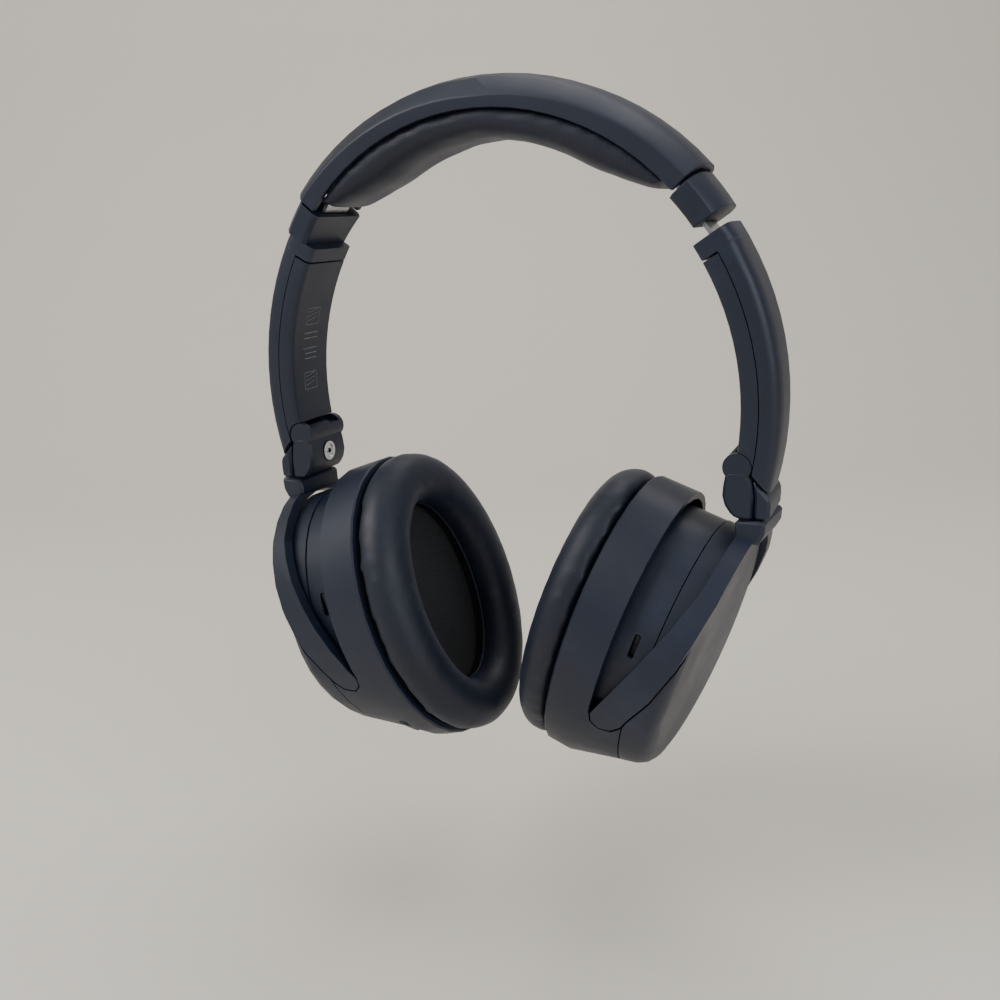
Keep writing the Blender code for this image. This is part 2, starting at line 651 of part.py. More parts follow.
def build_cup(label, side, frame, origin):
    pad = [(0.15, 0.0), (0.4, -0.3), (0.63, 0.5), (0.82, 2.9), (0.95, 6.2), (1.0, 10.2),
           (0.965, 13.8), (0.83, 16.8), (0.6, PAD_WALL), (0.25, PAD_WALL)]
    pad = [(-PAD_THICK * share, inset) for share, inset in pad]
    pad = [(-0.4, 0.6)] + pad + [(-0.4, PAD_WALL - 1.2)]
    ring_body(label + "_ear_pad", pad, frame, origin, "cushion")
    ring_body(label + "_pad_frame",
              [(0.3, 2.9), (1.6, 2.9), (1.6, PAD_WALL - 2.9), (0.3, PAD_WALL - 2.9)], frame,
              origin, "dark", smooth=False)
    disc_body(label + "_ear_mesh", [(0.4, PAD_WALL - 2.3), (1.0, PAD_WALL - 2.3)], frame, origin,
              "mesh", False)
    baffle = disc_body(label + "_baffle", [(2.3, BAND_WALL + 0.7), (4.1, BAND_WALL + 0.7)], frame,
                       origin, "dark", False)
    opening = cylinder(label + "_driver_opening", (0.0, 0.0, -2.0), (8.0, 0.0, -2.0),
                       DRIVER_RADIUS + 0.6, frame,
                       origin, None, 32)
    boolean(baffle, opening)
    round_body(label + "_diaphragm", [(2.0, DRIVER_RADIUS - 1.0), (2.6, DRIVER_RADIUS - 1.0)],
               (0.0, -2.0), frame, origin,
               "film")
    round_body(label + "_driver",
               [(3.0, DRIVER_RADIUS), (6.4, DRIVER_RADIUS), (7.0, 13.0), (11.0, 13.0)],
               (0.0, -2.0), frame, origin, "dark")

    band = ring_body(label + "_cup_band",
                     [(0.2, 0.5), (0.8, 0.0), (TAPER_START, 0.0), (REAR_SPLIT, 0.0),
                      (REAR_SPLIT, BAND_WALL), (TAPER_START, BAND_WALL), (0.2, BAND_WALL)],
                     frame, origin, "plastic")
    shape = yoke_outline(0.5)
    notch = [(BAND_LIP, CUP_HALF_HEIGHT + 14.0), (BAND_LIP, -16.0)] + shape[5:10]
    notch = notch + [(60.0, -16.2), (60.0, CUP_HALF_HEIGHT + 14.0)]
    window = prism(label + "_band_window", notch, -70.0, 70.0, frame, origin, None)
    boolean(band, window)

    housing = disc_body(label + "_housing",
                        [(REAR_SPLIT - 2.0, HOUSING_INSET + HOUSING_WALL),
                         (4.7, HOUSING_INSET + HOUSING_WALL),
                         (4.7, HOUSING_INSET), (REAR_SPLIT, HOUSING_INSET)],
                        frame, origin, "plastic")
    cover = disc_body(label + "_outer_cover",
                      [(CUP_DEPTH - 2.2, HOUSING_INSET + 2.5),
                       (REAR_SPLIT + 0.4, HOUSING_INSET + 2.5), (REAR_SPLIT + 0.4, 0.0),
                       (CUP_DEPTH - 5.0, 0.0), (CUP_DEPTH - 2.4, 0.9), (CUP_DEPTH - 0.7, 2.8),
                       (CUP_DEPTH, 5.6)], frame, origin, "plastic")
    track = ring_body(label + "_yoke_track",
                      [(TAPER_START, -9.3), (CUP_DEPTH + 0.3, -9.3), (61.0, -9.3),
                       (61.0, YOKE_WALL + YOKE_GAP),
                       (CUP_DEPTH + 0.3, YOKE_WALL + YOKE_GAP), (TAPER_START, YOKE_WALL + YOKE_GAP)],
                      frame, origin, None, True, OVAL_STEPS + 8)
    shape = yoke_outline(0.5)
    above = [(9.0, CUP_HALF_HEIGHT + 14.0), (9.0, -15.8)] + shape[9:]
    sweep = prism(label + "_track_slab", above, -75.0, 75.0, frame, origin, None)
    boolean(track, sweep, "INTERSECT")
    boolean(cover, track)

    for word, way in (("front", -1.0), ("rear", 1.0)):
        reach = pivot_y() - 1.7
        cylinder(label + "_pivot_" + word, (PIVOT_DEPTH, way * 30.2, -PIVOT_DROP),
                 (PIVOT_DEPTH, way * reach, -PIVOT_DROP), PIVOT_RADIUS, frame, origin, "steel", 20)
        hole = cylinder(label + "_housing_hole_" + word, (PIVOT_DEPTH, way * 20.0, -PIVOT_DROP),
                        (PIVOT_DEPTH, way * 50.0, -PIVOT_DROP), PIVOT_RADIUS + CLEARANCE, frame,
                        origin, None, 20)
        boolean(housing, hole)

    board = disc_body(label + "_circuit_board", [(12.4, 13.0), (13.6, 13.0)], frame, origin,
                      "board", False)
    slot_z = 11.0
    slot_y = -(CUP_HALF_WIDTH - HOUSING_INSET) * math.sqrt(
        1.0 - (slot_z / (CUP_HALF_HEIGHT - HOUSING_INSET)) ** 2)
    port = box(label + "_mic_port", (20.8, slot_y, slot_z), (2.0, 9.0, 8.0), frame, origin, None)
    soften(port, 0.5, 1)
    boolean(housing, port)
    mesh = box(label + "_mic_mesh", (20.8, slot_y + 1.6, slot_z), (1.4, 0.8, 7.2), frame,
               origin, "mesh")
    soften(mesh, 0.2)
    if side < 0:
        cell = box("left_battery", (18.6, 0.0, 0.0), (5.6, 30.0, 42.0), frame, origin, "cell")
        soften(cell, 1.0, 1)
    else:
        cell = box("right_antenna_board", (18.6, 0.0, 4.0), (1.2, 34.0, 40.0), frame, origin,
                   "board")
        soften(cell, 1.0, 1)
    return band, housing, board


def rim_frame(frame, degrees, depth):
    """Local axes on the cup's rim: x is depth, y runs along the rim, z points outward."""
    angle = math.radians(degrees)
    spot = Vector(oval_point(depth, 0.0, angle))
    deep = (Vector(oval_point(depth + 0.5, 0.0, angle)) - spot).normalized()
    along = (Vector(oval_point(depth, 0.0, angle + 0.02)) - spot).normalized()
    out = deep.cross(along).normalized()
    if out.dot(Vector((0.0, math.cos(angle), math.sin(angle)))) < 0.0:
        out = -out
    along = out.cross(deep)
    turn = Matrix((deep, along, out)).transposed().to_4x4()
    return Frame(frame.matrix @ Matrix.Translation(spot) @ turn)


def add_button(name, frame, band, degrees, depth, origin):
    rim = rim_frame(frame, degrees, depth)
    opening = rounded(BUTTON_WIDTH + BUTTON_GAP, BUTTON_LENGTH + BUTTON_GAP, 1.6, (0.0, 0.0))
    hole = prism(name + "_hole", opening, -7.0, 5.0, rim, origin,
                 None, "z")
    boolean(band, hole)
    cap = prism(name, rounded(BUTTON_WIDTH, BUTTON_LENGTH, 1.2, (0.0, 0.0)), -2.4, 0.05, rim,
                rim.at((0.0, 0.0, 0.0)), "plastic", "z")
    soften(cap, 0.3, 1)


def add_socket(name, frame, band, degrees, depth, size, origin):
    rim = rim_frame(frame, degrees, depth)
    spot = (0.0, 0.0)
    curve = 0.46 * size[0]
    opening = rounded(size[0] + SOCKET_GAP, size[1] + SOCKET_GAP, curve + 0.5 * SOCKET_GAP, spot)
    hole = prism(name + "_hole", opening, -7.0,
                 5.0, rim, origin, None, "z")
    boolean(band, hole)
    body = prism(name, rounded(size[0], size[1], curve, spot), -3.9, -0.35, rim, origin,
                 "steel", "z")
    well = prism(name + "_well", rounded(size[0] - 1.2, size[1] - 1.2, curve - 0.6, spot), -3.0,
                 2.0, rim, origin, None, "z")
    boolean(body, well)


for label, side in SIDES:
    flip = mirror(side)
    shift = slide_offset(side)
    arm = Frame(shift @ flip)
    cup = Frame(shift @ swivel_turn(side) @ flip @ cup_matrix())
    yoke = Frame(shift @ swivel_turn(side) @ flip)
    slide_point = arm.at((strip_spot(0.0)[0], 0.0, strip_spot(0.0)[1]))
    fold_point = arm.at((FOLD_X, 0.0, FOLD_Z))
    neck_point = arm.at((NECK_X, 0.0, FOLD_Z - 18.5))
    tilt_point = cup.at((PIVOT_DEPTH, 0.0, -PIVOT_DROP))
    build_collar(label, side)
    build_arm(label, side, arm, slide_point)
    build_knuckle(label, side, arm, fold_point)
    build_yoke(label, side, yoke, cup, neck_point)
    band, housing, board = build_cup(label, side, cup, tilt_point)
    if side < 0:
        add_button("left_power_button", cup, band, 236.5, 13.6, tilt_point)
        add_button("left_mode_button", cup, band, 303.5, 13.6, tilt_point)
        add_socket("left_audio_jack", cup, band, 270.0, 8.8, JACK_SIZE, tilt_point)
    else:
        add_socket("right_charge_port", cup, band, 270.0, 8.8, CHARGE_SIZE, tilt_point)
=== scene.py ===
import json
import math

import bmesh
import bpy
from mathutils import Matrix, Vector, noise
from mathutils.bvhtree import BVHTree


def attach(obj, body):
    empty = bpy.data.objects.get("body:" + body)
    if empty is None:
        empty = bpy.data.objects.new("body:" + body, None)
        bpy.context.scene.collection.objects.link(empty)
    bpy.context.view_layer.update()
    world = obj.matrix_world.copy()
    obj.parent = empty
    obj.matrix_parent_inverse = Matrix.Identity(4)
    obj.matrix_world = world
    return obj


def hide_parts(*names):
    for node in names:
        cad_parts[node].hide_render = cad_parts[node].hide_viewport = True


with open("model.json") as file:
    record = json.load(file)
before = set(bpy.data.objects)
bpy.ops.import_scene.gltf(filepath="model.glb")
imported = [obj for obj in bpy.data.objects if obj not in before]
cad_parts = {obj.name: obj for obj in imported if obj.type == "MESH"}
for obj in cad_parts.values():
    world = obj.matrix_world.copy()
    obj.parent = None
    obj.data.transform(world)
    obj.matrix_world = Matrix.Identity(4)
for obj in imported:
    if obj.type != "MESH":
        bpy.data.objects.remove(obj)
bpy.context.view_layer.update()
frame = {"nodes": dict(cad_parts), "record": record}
NODES = frame["nodes"]
RECORD = frame["record"]

MM = 0.001
SAME_POINT = 0.000002
SIDES = ("left", "right")

# Navy of the shells and the leather, and the paler navy of the outer edges, which is part rubbed wear
# and part painted highlight
NAVY = (0.0042, 0.0080, 0.0215)
NAVY_EDGE = (0.0140, 0.0230, 0.0480)
LEATHER = (0.0046, 0.0078, 0.0190)

# Cup sizes in millimetres, as the CAD has them
CUP_HALF_HEIGHT = 51.5
CUP_HALF_WIDTH = 38.5
PIVOT_DEPTH = 21.0
PIVOT_DROP = 11.5
PAD_WALL = 18.5


# The headband's inner channel, which the cushion sits in, in metres
CHANNEL_CENTRE_Z = -0.0728
CHANNEL_RADIUS = 0.0804
CHANNEL_HALF_WIDTH = 0.0118

# The smallest rounded edge, in millimetres, and the corner angle that gets one
EDGE_ROUND = 0.15
EDGE_ANGLE = math.radians(36.0)

# Cloth simulation: frames run, and how far the skin may stand off the CAD solid
CLOTH_FRAMES = 20
SKIN_PROUD = 0.00015


# ---------------------------------------------------------------- materials


class Look:
    """A node material that reads its patterns from the object's own coordinates."""

    def __init__(self, name):
        self.mat = bpy.data.materials.new(name)
        self.mat.use_nodes = True
        self.tree = self.mat.node_tree
        self.shader = self.tree.nodes["Principled BSDF"]
        self.coords = self.tree.nodes.new("ShaderNodeTexCoord").outputs["Object"]

    def add(self, kind, links=None, **settings):
        node = self.tree.nodes.new(kind)
        for key, value in settings.items():
            setattr(node, key, value)
        for key, value in (links or {}).items():
            socket = node.inputs[key]
            if isinstance(value, bpy.types.NodeSocket):
                self.tree.links.new(value, socket)
            else:
                socket.default_value = value
        return node

    def noise(self, scale, detail=3.0, rough=0.5, coords=None):
        return self.add("ShaderNodeTexNoise", {"Vector": coords or self.coords, "Scale": scale,
                                               "Detail": detail, "Roughness": rough}).outputs["Fac"]

    def cells(self, scale, feature="DISTANCE_TO_EDGE", coords=None, spread=1.0):
        node = self.add("ShaderNodeTexVoronoi", {"Vector": coords or self.coords, "Scale": scale,
                                                 "Randomness": spread}, feature=feature)
        return node.outputs["Distance"]

    def span(self, value, low, high, to_low=0.0, to_high=1.0):
        return self.add("ShaderNodeMapRange", {"Value": value, "From Min": low, "From Max": high,
                                               "To Min": to_low, "To Max": to_high}).outputs["Result"]

    def math(self, kind, a, b=0.0):
        return self.add("ShaderNodeMath", {0: a, 1: b}, operation=kind).outputs["Value"]

    def mix(self, share, first, second):
        node = self.add("ShaderNodeMix", {"Factor": share}, data_type="RGBA")
        inputs = [s for s in node.inputs if s.type == "RGBA"]
        for socket, value in zip(inputs, (first, second)):
            if isinstance(value, bpy.types.NodeSocket):
                self.tree.links.new(value, socket)
            else:
                socket.default_value = (*value, 1.0)
        return [s for s in node.outputs if s.type == "RGBA"][0]

    def put(self, name, value):
        socket = self.shader.inputs[name]
        if isinstance(value, bpy.types.NodeSocket):
            self.tree.links.new(value, socket)
        elif isinstance(value, tuple) and len(value) == 3:
            socket.default_value = (*value, 1.0)
        else:
            socket.default_value = value

    def bump(self, height, strength, distance, below=None):
        links = {"Height": height, "Strength": strength, "Distance": distance}
        if below is not None:
            links["Normal"] = below
        return self.add("ShaderNodeBump", links).outputs["Normal"]


def edge_share(look, low=0.515, high=0.60):
    """How far a point lies on an outer edge, from 0 to 1."""
    point = look.add("ShaderNodeNewGeometry").outputs["Pointiness"]
    return look.span(point, low, high)


def moulded(name, colour, edge, rough=0.46, grain=2300.0, depth=0.00005):
    """Fine-textured matte moulded plastic, a little paler and smoother on outer edges; the paleness
    is part rubbed wear, part painted highlight.
    """
    look = Look(name)
    broad = look.noise(16.0, 4.0, 0.55)
    mottled = look.mix(look.span(broad, 0.35, 0.68), tuple(0.86 * c for c in colour),
                       tuple(1.16 * c for c in colour))
    # painted highlight with rubbed wear: outer edges, found by pointiness and broken up by noise, are
    # mixed towards the paler edge colour
    edge_wear_and_highlight = look.math("MULTIPLY", edge_share(look), look.span(look.noise(160.0), 0.30, 0.75))
    edge_wear_and_highlight = look.math("MULTIPLY", edge_wear_and_highlight, 0.42)
    look.put("Base Color", look.mix(edge_wear_and_highlight, mottled, edge))
    smear = look.span(look.noise(38.0, 5.0, 0.6), 0.3, 0.7, rough - 0.05, rough + 0.07)
    look.put("Roughness", smear)
    look.put("Specular IOR Level", 0.46)
    fine = look.noise(grain, 2.0, 0.6)
    skin = look.bump(fine, 0.34, depth)
    ripple = look.bump(look.noise(90.0, 2.0), 0.10, 0.00012, skin)
    look.put("Normal", ripple)
    return look.mat


def leather(name, colour, scale=1150.0):
    """Soft protein leather: pebbled grain, faint creases and a low sheen."""
    look = Look(name)
    wander = look.add("ShaderNodeTexNoise", {"Vector": look.coords, "Scale": 420.0, "Detail": 2.0})
    small = look.add("ShaderNodeVectorMath", {0: wander.outputs["Color"], 1: (0.0007,) * 3},
                     operation="MULTIPLY").outputs["Vector"]
    moved = look.add("ShaderNodeVectorMath", {0: look.coords, 1: small},
                     operation="ADD").outputs["Vector"]
    pebble = look.cells(scale, coords=moved)
    pebble = look.span(pebble, 0.0, 0.22)
    crease = look.cells(150.0, coords=moved)
    crease = look.span(crease, 0.0, 0.035)
    tone = look.span(look.noise(22.0, 4.0), 0.32, 0.70)
    body = look.mix(tone, tuple(0.82 * c for c in colour), tuple(1.22 * c for c in colour))
    valley = look.mix(look.span(pebble, 0.0, 0.7), tuple(0.62 * c for c in colour), body)
    look.put("Base Color", valley)
    look.put("Roughness", look.span(look.noise(60.0, 3.0), 0.3, 0.7, 0.45, 0.58))
    look.put("Specular IOR Level", 0.42)
    look.put("Sheen Weight", 0.07)
    look.put("Sheen Roughness", 0.45)
    look.put("Sheen Tint", (0.35, 0.45, 0.75, 1.0))
    skin = look.bump(pebble, 0.30, 0.00006)
    fold = look.bump(crease, 0.10, 0.00010, skin)
    look.put("Normal", look.bump(look.noise(75.0, 3.0), 0.25, 0.00045, fold))
    return look.mat


def woven(name, colour, light, pitch=0.00075):
    """Open knitted mesh: crossed threads with dark holes between them."""
    look = Look(name)
    split = look.add("ShaderNodeSeparateXYZ", {"Vector": look.coords})
    turns = 2.0 * math.pi / pitch
    across = look.math("SINE", look.math("MULTIPLY", split.outputs["Y"], turns))
    along = look.math("SINE", look.math("MULTIPLY", split.outputs["Z"], turns))
    thread = look.math("MAXIMUM", across, along)
    hole = look.span(thread, -0.2, 0.55)
    tint = look.span(look.noise(40.0), 0.3, 0.7)
    yarn = look.mix(tint, colour, light)
    look.put("Base Color", look.mix(hole, (0.0012, 0.0014, 0.0022), yarn))
    look.put("Roughness", 0.82)
    look.put("Sheen Weight", 0.03)
    look.put("Sheen Roughness", 0.6)
    look.put("Normal", look.bump(thread, 0.6, 0.00018))
    return look.mat


def metal(name, colour, rough=0.28, brushed=True):
    """Satin metal with fine lines, drawn out along Y where it is brushed."""
    look = Look(name)
    stretch = look.add("ShaderNodeMapping", {"Vector": look.coords,
                                             "Scale": (60.0, 4200.0 if brushed else 60.0, 60.0)})
    lines = look.noise(1.0, 3.0, 0.6, stretch.outputs["Vector"])
    tone = look.span(look.noise(70.0), 0.3, 0.7)
    look.put("Base Color", look.mix(tone, tuple(0.86 * c for c in colour), colour))
    look.put("Metallic", 1.0)
    look.put("Roughness", look.span(lines, 0.25, 0.75, rough - 0.06, rough + 0.10))
    look.put("Normal", look.bump(lines, 0.12, 0.00003))
    return look.mat


def circuit(name):
    """Green solder mask with copper tracks under it and silver pads."""
    look = Look(name)
    track = look.cells(190.0, "DISTANCE_TO_EDGE", spread=0.3)
    track = look.span(track, 0.05, 0.09, 1.0, 0.0)
    mask = look.mix(track, (0.006, 0.050, 0.026), (0.020, 0.110, 0.050))
    pads = look.span(look.cells(420.0, "F1", spread=0.25), 0.13, 0.17, 1.0, 0.0)
    look.put("Base Color", look.mix(pads, mask, (0.50, 0.48, 0.42)))
    look.put("Metallic", pads)
    look.put("Roughness", look.span(look.noise(200.0), 0.3, 0.7, 0.28, 0.42))
    look.put("Normal", look.bump(track, 0.3, 0.00004))
    return look.mat


def ink(name, colour):
    """Thin pad-printed ink with slightly broken edges."""
    look = Look(name)
    tone = look.span(look.noise(1500.0, 3.0), 0.38, 0.60)
    look.put("Base Color", look.mix(tone, tuple(0.45 * c for c in colour), colour))
    look.put("Roughness", look.span(look.noise(700.0), 0.3, 0.7, 0.55, 0.70))
    return look.mat


SHELL = moulded("navy_shell", NAVY, NAVY_EDGE)
SOFT_TOUCH = moulded("navy_soft_touch", NAVY, NAVY_EDGE, 0.50, 1900.0, 0.00006)
KEYS = moulded("navy_keys", tuple(1.1 * c for c in NAVY), NAVY_EDGE, 0.40, 3000.0, 0.00003)
BLACK = moulded("black_moulding", (0.0060, 0.0062, 0.0075), (0.020, 0.020, 0.024), 0.55, 1700.0)
PAD_SKIN = leather("pad_leather", LEATHER)
BAND_SKIN = leather("headband_leather", LEATHER, 1000.0)
MESH = woven("ear_mesh_knit", (0.0016, 0.0020, 0.0034), (0.0034, 0.0042, 0.0070))
GRILLE = woven("microphone_mesh", (0.0040, 0.0045, 0.0065), (0.010, 0.011, 0.015), 0.00045)
STEEL = metal("satin_steel", (0.46, 0.47, 0.50))
RING = metal("badge_ring", (0.66, 0.67, 0.70), 0.24, False)
FOIL = metal("cell_foil", (0.42, 0.43, 0.46), 0.40, False)
BOARD = circuit("circuit_board_mask")
FILM = moulded("diaphragm_film", (0.30, 0.28, 0.22), (0.42, 0.40, 0.33), 0.30, 900.0)
PRINT = ink("grey_print", (0.16, 0.17, 0.20))
COATED = moulded("coated_hinge_metal", NAVY, NAVY_EDGE, 0.40, 2600.0, 0.00003)


SLOT_OF = {s["node"]: s["material_slot"] for s in RECORD["subparts"]}


def look_for(node):
    """The material of a CAD node that is shown as it is."""
    if node == "headband_shell":
        return SOFT_TOUCH
    if node.endswith("_button"):
        return KEYS
    if node.endswith("mic_mesh"):
        return GRILLE
    if node.endswith("_diaphragm"):
        return FILM
    if node.endswith("_battery"):
        return FOIL
    if node.endswith("_board"):
        return BOARD
    if node.endswith("side_badge"):
        return RING
    by_slot = {"steel": STEEL, "coated_metal": COATED, "inner_plastic": BLACK,
               "shell_plastic": SHELL}
    return by_slot[SLOT_OF[node]]


SOFT_NODES = ["headband_pad"] + [side + "_ear_pad" for side in SIDES]
SOFT_NODES += [side + "_ear_mesh" for side in SIDES]
# Rounded edges in millimetres, for the headband and for each side's parts
ROUNDED = {"_arm_shell": 0.35, "_arm_cover": 0.3, "_collar": 0.4, "_yoke": 0.4,
           "_outer_cover": 0.35, "_cup_band": 0.3, "_housing": EDGE_ROUND,
           "_hinge_cover": EDGE_ROUND, "_knuckle_shell": EDGE_ROUND}
BEVELS = {side + part: size for side in SIDES for part, size in ROUNDED.items()}
BEVELS["headband_shell"] = 0.5


def round_edges(obj, size):
    """Shades a moulding smoothly, with its corners rounded to a size in millimetres."""
    for attribute in ("custom_normal", "sharp_face", "sharp_edge"):
        if attribute in obj.data.attributes:
            obj.data.attributes.remove(obj.data.attributes[attribute])
    for face in obj.data.polygons:
        face.use_smooth = True
    weld = obj.modifiers.new("weld", "WELD")
    weld.merge_threshold = SAME_POINT
    bevel = obj.modifiers.new("edge", "BEVEL")
    bevel.width = size * MM
    bevel.segments = 2
    bevel.limit_method = "ANGLE"
    bevel.angle_limit = EDGE_ANGLE
    bevel.harden_normals = False
    normals = obj.modifiers.new("normals", "WEIGHTED_NORMAL")
    normals.weight = 50
    normals.keep_sharp = False


for node, obj in NODES.items():
    if node in SOFT_NODES:
        continue
    obj.data.materials.clear()
    obj.data.materials.append(look_for(node))
    if node in BEVELS:
        round_edges(obj, BEVELS[node])


# ---------------------------------------------------------------- cup axes


def cup_axes(side):
    """A cup's own axes: depth away from the head, the pivots' line, and up the oval."""
    out = Vector([m for m in RECORD["mounts"] if m["name"] == side + "_panel_face"][0]["axis"])
    tilt = [j for j in RECORD["behaviour"]["joints"] if j["name"] == side + "_tilt"][0]
    along = Vector(tilt["axis"])
    up = out.cross(along).normalized()
    if up.z < 0.0:
        up = -up
    start = Vector(tilt["pos_m"]) - out * (PIVOT_DEPTH * MM) + up * (PIVOT_DROP * MM)
    turn = Matrix((out, along, up)).transposed().to_4x4()
    return Matrix.Translation(start) @ turn


CUPS = {side: cup_axes(side) for side in SIDES}


def new_piece(name, verts, faces, look, body, smooth=True):
    """A mesh of the scene's own that rides on a body."""
    mesh = bpy.data.meshes.new(name)
    mesh.from_pydata([tuple(v) for v in verts], [], faces)
    mesh.validate()
    mesh.update()
    obj = bpy.data.objects.new(name, mesh)
    bpy.context.scene.collection.objects.link(obj)
    mesh.materials.append(look)
    for face in mesh.polygons:
        face.use_smooth = smooth
    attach(obj, body)
    return obj


def baked(obj):
    """The object's mesh with its modifiers in it."""
    graph = bpy.context.evaluated_depsgraph_get()
    graph.update()
    made = bpy.data.meshes.new_from_object(obj.evaluated_get(graph))
    obj.modifiers.clear()
    old = obj.data
    obj.data = made
    bpy.data.meshes.remove(old)
    return obj


def tube(name, points, radius, look, body):
    """A round thread or piping along a closed run of points."""
    curve = bpy.data.curves.new(name, "CURVE")
    curve.dimensions = "3D"
    curve.bevel_depth = radius
    curve.bevel_resolution = 2
    line = curve.splines.new("POLY")
    line.points.add(len(points) - 1)
    for spot, point in zip(line.points, points):
        spot.co = (*point, 1.0)
    line.use_cyclic_u = True
    curve.use_fill_caps = False
    curve.materials.append(look)
    obj = bpy.data.objects.new(name, curve)
    bpy.context.scene.collection.objects.link(obj)
    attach(obj, body)
    return obj


# ---------------------------------------------------------------- soft goods


def relax(bm, factor):
    bmesh.ops.smooth_vert(bm, verts=bm.verts, factor=factor, use_axis_x=True, use_axis_y=True,
                          use_axis_z=True)


def even_skin(name, source, voxel, inset):
    """A copy of a CAD cushion with an even mesh, drawn in a little from its surface."""
    mesh = source.data.copy()
    obj = bpy.data.objects.new(name, mesh)
    bpy.context.scene.collection.objects.link(obj)
    bm = bmesh.new()
    bm.from_mesh(mesh)
    bmesh.ops.remove_doubles(bm, verts=bm.verts, dist=SAME_POINT)
    bmesh.ops.recalc_face_normals(bm, faces=bm.faces)
    bm.to_mesh(mesh)
    bm.free()
    remesh = obj.modifiers.new("remesh", "REMESH")
    remesh.mode = "VOXEL"
    remesh.voxel_size = voxel
    baked(obj)
    bm = bmesh.new()
    bm.from_mesh(obj.data)
    bm.normal_update()
    relax(bm, 0.5)
    bm.normal_update()
    shifts = [(v, v.normal.copy()) for v in bm.verts]
    for vert, normal in shifts:
        vert.co = vert.co - normal * inset
    bm.to_mesh(obj.data)
    bm.free()
    return obj


def inflate(obj, pressure):
    """Swells the skin by cloth simulation, with the group called held kept in place."""
    cloth = obj.modifiers.new("cloth", "CLOTH")
    cloth.settings.quality = 6
    cloth.settings.use_pressure = True
    cloth.settings.uniform_pressure_force = pressure
    cloth.settings.effector_weights.gravity = 0.0
    cloth.settings.tension_stiffness = 12.0
    cloth.settings.compression_stiffness = 12.0
    cloth.settings.bending_stiffness = 0.6
    cloth.settings.vertex_group_mass = "held"
    cloth.collision_settings.use_collision = False
    cloth.point_cache.frame_start = 1
    cloth.point_cache.frame_end = CLOTH_FRAMES
    scene = bpy.context.scene
    for count in range(1, CLOTH_FRAMES + 1):
        scene.frame_set(count)
    baked(obj)
    scene.frame_set(1)


def rein_in(obj, start, cap, skin):
    """Caps each point's movement, and keeps it within the shape the CAD solid reserves."""
    for vert, origin in zip(obj.data.vertices, start):
        step = vert.co - origin
        if step.length > cap:
            vert.co = origin + step * (cap / step.length)
    for vert in obj.data.vertices:
        place, normal, _, _ = skin.find_nearest(vert.co)
        if place is None:
            continue
        proud = (vert.co - place).dot(normal)
        if proud > SKIN_PROUD:
            vert.co = vert.co - normal * (proud - SKIN_PROUD)
    obj.data.update()


def padded_copy(name, source, voxel, inset, pressure, cap, held, body, look):
    """A swollen copy of a CAD cushion that takes its place, held where it meets its frame."""
    obj = even_skin(name, source, voxel, inset)
    skin = BVHTree.FromObject(source, bpy.context.evaluated_depsgraph_get())
    start = [v.co.copy() for v in obj.data.vertices]
    group = obj.vertex_groups.new(name="held")
    pinned = [v.index for v in obj.data.vertices if held(v.co)]
    group.add(pinned, 1.0, "REPLACE")
    inflate(obj, pressure)
    rein_in(obj, start, cap, skin)
    bm = bmesh.new()
    bm.from_mesh(obj.data)
    for _ in range(2):
        relax(bm, 0.4)
    bm.to_mesh(obj.data)
    bm.free()
    sub = obj.modifiers.new("surface", "SUBSURF")
    sub.levels = 1
    sub.render_levels = 1
    baked(obj)
    for face in obj.data.polygons:
        face.use_smooth = True
    obj.data.materials.clear()
    obj.data.materials.append(look)
    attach(obj, body)
    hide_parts(source.name)
    return obj


def local_oval(inset, depth, steps):
    """Points of a cup's oval, in the cup's own millimetres."""
    ring = []
    for k in range(steps):
        angle = 2.0 * math.pi * k / steps
        ring.append(Vector((depth, (CUP_HALF_WIDTH - inset) * math.cos(angle),
                            (CUP_HALF_HEIGHT - inset) * math.sin(angle))))
    return ring


def in_world(matrix, points):
    """Points in a cup's own millimetres, put where the cup is."""
    return [matrix @ (point * MM) for point in points]


# Where the pad is held, in metres, and the creases round its opening
PAD_HELD_DEPTH = -0.0016
CREASE_SHARE = 0.56
CREASE_SPREAD = 0.10
CREASE_DEPTH = 0.00016

# The knitted cover over the driver, in millimetres
COVER_RINGS = 14
COVER_STEPS = 64
COVER_LAP = 2.1
COVER_DEPTH = 0.55
COVER_DOME = 1.5
COVER_SLACK = 0.22

# The sewn seam inside the pad: millimetres in the cup, and its thread's radius in metres
SEAM_INSET = 0.15
SEAM_DEPTH = -4.2
SEAM_RADIUS = 0.00045


def crease_opening(pad, cup):
    """Drawn creases round the inside of the opening, deepest where the leather turns in."""
    back = cup.inverted()
    for vert in pad.data.vertices:
        spot = (back @ vert.co) / MM
        share = math.hypot(spot.y / CUP_HALF_WIDTH, spot.z / CUP_HALF_HEIGHT)
        turn = math.atan2(spot.z / CUP_HALF_HEIGHT, spot.y / CUP_HALF_WIDTH)
        inner = max(0.0, 1.0 - abs(share - CREASE_SHARE) / CREASE_SPREAD)
        ruck = math.sin(31.0 * turn + 3.0 * math.sin(5.0 * turn)) * 0.5
        ruck += noise.noise(Vector((spot.y, spot.z, spot.x)) * 0.35)
        push = cup.to_3x3() @ Vector((0.0, spot.y, spot.z)).normalized()
        vert.co = vert.co + push * (inner * ruck * CREASE_DEPTH)
    pad.data.update()


